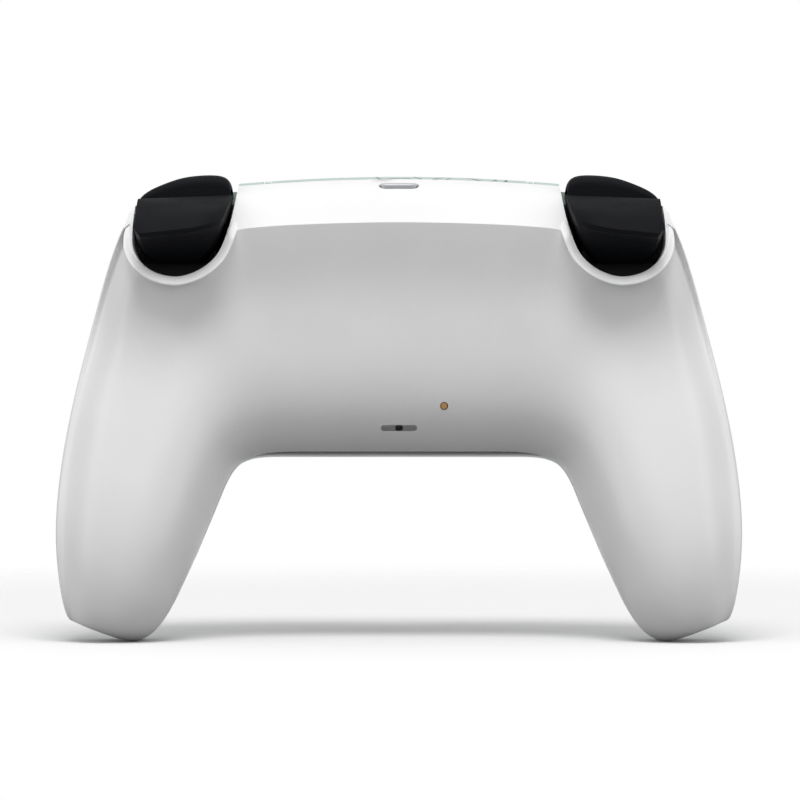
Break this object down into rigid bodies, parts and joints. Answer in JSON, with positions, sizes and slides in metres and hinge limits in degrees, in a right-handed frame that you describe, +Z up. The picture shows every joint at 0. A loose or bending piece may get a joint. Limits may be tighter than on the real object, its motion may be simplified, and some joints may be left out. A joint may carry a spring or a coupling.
{
  "type": "gamepad controller",
  "caption": "Wireless gamepad with two grips, paired thumb sticks, a direction pad, face buttons, a touch pad, and hinged triggers and bumpers in pockets at its back edge.",
  "frame": {"origin": "bottom centre: midway across the width and the depth, at the height of the grip tips", "axes": "+Z up with the grips hanging down, +Y out of the front face with the thumb sticks, +X towards the player's left hand, which is the right side seen from behind"},
  "size_m": [0.1603, 0.065, 0.1097],
  "materials": {
    "shell_white": "satin",
    "trim_black": "gloss",
    "satin_black": "satin",
    "pad_mint": "satin",
    "light_clear": "frosted",
    "button_grey": "satin",
    "stick_rubber": "matt",
    "board_green": "satin",
    "frame_black": "matt",
    "battery_grey": "satin",
    "steel": "brushed",
    "brass": "polished"
  },
  "bodies": {
    "casing": {"rear_shell": "shell_white", "front_shell": "pad_mint", "centre_trim": "trim_black", "player_light": "light_clear", "charge_contacts": "brass", "light_bar_left": "light_clear", "light_bar_right": "light_clear", "mid_frame": "frame_black", "main_board": "board_green", "frame_screws": "steel", "battery": "battery_grey", "speaker": "frame_black", "usb_port": "steel", "headphone_jack": "frame_black", "rear_microphone": "shell_white", "reset_switch": "frame_black", "haptic_can_left": "steel", "haptic_can_right": "steel", "stick_base_left": "frame_black", "stick_base_right": "frame_black", "button_carrier_left": "frame_black", "button_carrier_right": "frame_black", "button_membrane_left": "stick_rubber", "button_membrane_right": "stick_rubber", "trigger_bracket_left": "frame_black", "trigger_bracket_right": "frame_black", "trigger_axle_left": "steel", "trigger_axle_right": "steel", "trigger_spring_left": "steel", "trigger_spring_right": "steel", "trigger_motor_left": "frame_black", "trigger_motor_right": "frame_black", "cam_pins": "frame_black"},
    "trigger_left": {"trigger_left": "satin_black"},
    "bumper_left": {"bumper_left": "satin_black"},
    "trigger_cam_left": {"trigger_cam_left": "frame_black"},
    "stick_yoke_left": {"stick_yoke_left": "frame_black"},
    "stick_lever_left": {"stick_lever_left": "frame_black"},
    "stick_cap_left": {"stick_cap_left": "stick_rubber"},
    "haptic_mass_left": {"haptic_mass_left": "steel"},
    "menu_button_left": {"menu_button_left": "button_grey"},
    "trigger_right": {"trigger_right": "satin_black"},
    "bumper_right": {"bumper_right": "satin_black"},
    "trigger_cam_right": {"trigger_cam_right": "frame_black"},
    "stick_yoke_right": {"stick_yoke_right": "frame_black"},
    "stick_lever_right": {"stick_lever_right": "frame_black"},
    "stick_cap_right": {"stick_cap_right": "stick_rubber"},
    "haptic_mass_right": {"haptic_mass_right": "steel"},
    "menu_button_right": {"menu_button_right": "button_grey"},
    "dpad_pivot": {"dpad_pivot": "frame_black"},
    "dpad": {"dpad": "button_grey"},
    "button_inner": {"button_inner": "button_grey"},
    "button_upper": {"button_upper": "button_grey"},
    "button_outer": {"button_outer": "button_grey"},
    "button_lower": {"button_lower": "button_grey"},
    "home_button": {"home_button": "trim_black"},
    "mute_button": {"mute_button": "trim_black"},
    "touchpad": {"touchpad": "pad_mint", "touchpad_board": "board_green"},
    "reset_plunger": {"reset_plunger": "brass"}
  },
  "joints": [
    {"name": "trigger_left_pull", "type": "hinge", "parent": "casing", "child": "trigger_left", "pos_m": [0, -0.004, 0.102], "axis": [1, 0, 0], "range_deg": [0, 12], "stiffness_Nm_per_rad": 0.12, "springref_deg": -17.19},
    {"name": "bumper_left_press", "type": "hinge", "parent": "casing", "child": "bumper_left", "pos_m": [0, 0.0054, 0.1038], "axis": [1, 0, 0], "range_deg": [0, 3.5], "stiffness_Nm_per_rad": 0.2, "springref_deg": -3.44},
    {"name": "trigger_cam_left_turn", "type": "hinge", "parent": "casing", "child": "trigger_cam_left", "pos_m": [0, -0.0038, 0.0902], "axis": [1, 0, 0], "range_deg": [0, 60]},
    {"name": "stick_left_up_down", "type": "hinge", "parent": "casing", "child": "stick_yoke_left", "pos_m": [0.0225, 0.0074, 0.063], "axis": [1, 0, 0], "range_deg": [-18, 18], "stiffness_Nm_per_rad": 0.06},
    {"name": "stick_left_side", "type": "hinge", "parent": "stick_yoke_left", "child": "stick_lever_left", "pos_m": [0.0225, 0.0074, 0.063], "axis": [0, 0, 1], "range_deg": [-18, 18], "stiffness_Nm_per_rad": 0.06},
    {"name": "stick_left_click", "type": "slide", "parent": "stick_lever_left", "child": "stick_cap_left", "axis": [0, -1, 0], "range_m": [0, 0.0005], "stiffness_N_per_m": 1500, "springref_m": -0.0006},
    {"name": "haptic_mass_left_shake", "type": "slide", "parent": "casing", "child": "haptic_mass_left", "axis": [1, 0, 0], "range_m": [-0.001, 0.001], "stiffness_N_per_m": 800},
    {"name": "menu_button_left_press", "type": "slide", "parent": "casing", "child": "menu_button_left", "axis": [0, -1, 0], "range_m": [0, 0.0006], "stiffness_N_per_m": 900, "springref_m": -0.0006},
    {"name": "trigger_right_pull", "type": "hinge", "parent": "casing", "child": "trigger_right", "pos_m": [0, -0.004, 0.102], "axis": [1, 0, 0], "range_deg": [0, 12], "stiffness_Nm_per_rad": 0.12, "springref_deg": -17.19},
    {"name": "bumper_right_press", "type": "hinge", "parent": "casing", "child": "bumper_right", "pos_m": [0, 0.0054, 0.1038], "axis": [1, 0, 0], "range_deg": [0, 3.5], "stiffness_Nm_per_rad": 0.2, "springref_deg": -3.44},
    {"name": "trigger_cam_right_turn", "type": "hinge", "parent": "casing", "child": "trigger_cam_right", "pos_m": [0, -0.0038, 0.0902], "axis": [1, 0, 0], "range_deg": [0, 60]},
    {"name": "stick_right_up_down", "type": "hinge", "parent": "casing", "child": "stick_yoke_right", "pos_m": [-0.0225, 0.0074, 0.063], "axis": [1, 0, 0], "range_deg": [-18, 18], "stiffness_Nm_per_rad": 0.06},
    {"name": "stick_right_side", "type": "hinge", "parent": "stick_yoke_right", "child": "stick_lever_right", "pos_m": [-0.0225, 0.0074, 0.063], "axis": [0, 0, 1], "range_deg": [-18, 18], "stiffness_Nm_per_rad": 0.06},
    {"name": "stick_right_click", "type": "slide", "parent": "stick_lever_right", "child": "stick_cap_right", "axis": [0, -1, 0], "range_m": [0, 0.0005], "stiffness_N_per_m": 1500, "springref_m": -0.0006},
    {"name": "haptic_mass_right_shake", "type": "slide", "parent": "casing", "child": "haptic_mass_right", "axis": [1, 0, 0], "range_m": [-0.001, 0.001], "stiffness_N_per_m": 800},
    {"name": "menu_button_right_press", "type": "slide", "parent": "casing", "child": "menu_button_right", "axis": [0, -1, 0], "range_m": [0, 0.0006], "stiffness_N_per_m": 900, "springref_m": -0.0006},
    {"name": "dpad_up_down", "type": "hinge", "parent": "casing", "child": "dpad_pivot", "pos_m": [0.049, 0.01065, 0.082], "axis": [1, 0, 0], "range_deg": [-3, 3], "stiffness_Nm_per_rad": 0.15},
    {"name": "dpad_side", "type": "hinge", "parent": "dpad_pivot", "child": "dpad", "pos_m": [0.049, 0.01065, 0.082], "axis": [0, 0, 1], "range_deg": [-3, 3], "stiffness_Nm_per_rad": 0.15},
    {"name": "button_inner_press", "type": "slide", "parent": "casing", "child": "button_inner", "axis": [0, -1, 0], "range_m": [0, 0.0012], "stiffness_N_per_m": 600, "springref_m": -0.001},
    {"name": "button_upper_press", "type": "slide", "parent": "casing", "child": "button_upper", "axis": [0, -1, 0], "range_m": [0, 0.0012], "stiffness_N_per_m": 600, "springref_m": -0.001},
    {"name": "button_outer_press", "type": "slide", "parent": "casing", "child": "button_outer", "axis": [0, -1, 0], "range_m": [0, 0.0012], "stiffness_N_per_m": 600, "springref_m": -0.001},
    {"name": "button_lower_press", "type": "slide", "parent": "casing", "child": "button_lower", "axis": [0, -1, 0], "range_m": [0, 0.0012], "stiffness_N_per_m": 600, "springref_m": -0.001},
    {"name": "home_button_press", "type": "slide", "parent": "casing", "child": "home_button", "axis": [0, -1, 0], "range_m": [0, 0.0006], "stiffness_N_per_m": 900, "springref_m": -0.0006},
    {"name": "mute_button_press", "type": "slide", "parent": "casing", "child": "mute_button", "axis": [0, -1, 0], "range_m": [0, 0.0006], "stiffness_N_per_m": 900, "springref_m": -0.0006},
    {"name": "touchpad_press", "type": "hinge", "parent": "casing", "child": "touchpad", "pos_m": [0, 0.006, 0.106], "axis": [-1, 0, 0], "range_deg": [0, 1], "stiffness_Nm_per_rad": 0.6, "springref_deg": -1.15},
    {"name": "reset_press", "type": "slide", "parent": "casing", "child": "reset_plunger", "axis": [0, 1, 0], "range_m": [0, 0.0003], "stiffness_N_per_m": 800, "springref_m": -0.0005}
  ]
}
